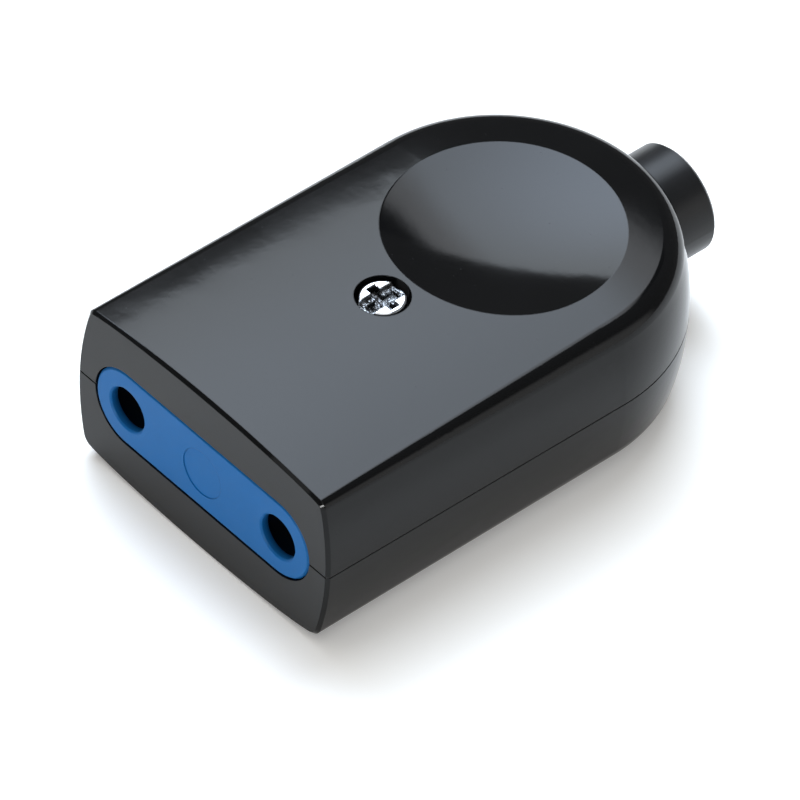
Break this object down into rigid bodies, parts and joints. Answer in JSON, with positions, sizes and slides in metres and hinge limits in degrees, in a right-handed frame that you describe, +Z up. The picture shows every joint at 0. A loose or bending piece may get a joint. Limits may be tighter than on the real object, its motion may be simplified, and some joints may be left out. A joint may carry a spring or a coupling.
{
  "type": "inline power socket",
  "caption": "Flat black inline power socket with a blue round-ended pin face, a round thumb dish, a case screw and a rear cable sleeve.",
  "frame": {"origin": "on the surface that the socket lies on, below the middle of its length and width", "axes": "+X to the right seen from the front, +Y from the pin face towards the cable sleeve, +Z up through the thumb dish"},
  "size_m": [0.0316, 0.0522, 0.0172],
  "materials": {
    "case_plastic": "smooth semi-gloss moulded thermoset, black",
    "insert_plastic": "smooth satin moulded plastic, blue",
    "plated_steel": "bright zinc plate",
    "contact_brass": "turned, lightly tarnished",
    "spring_steel": "blued spring steel",
    "sleeve_rubber": "satin black",
    "clamp_plastic": "matt dark grey"
  },
  "bodies": {
    "root": {"upper_shell": "case_plastic", "lower_shell": "case_plastic", "socket_insert": "insert_plastic", "case_screw": "plated_steel", "case_nut": "plated_steel", "clamp_screws": "plated_steel", "terminal_screw_left": "plated_steel", "terminal_screw_right": "plated_steel", "contact_left": "contact_brass", "contact_right": "contact_brass", "contact_spring_left": "spring_steel", "contact_spring_right": "spring_steel", "cable_sleeve": "sleeve_rubber", "cord_clamp": "clamp_plastic"}
  },
  "joints": []
}
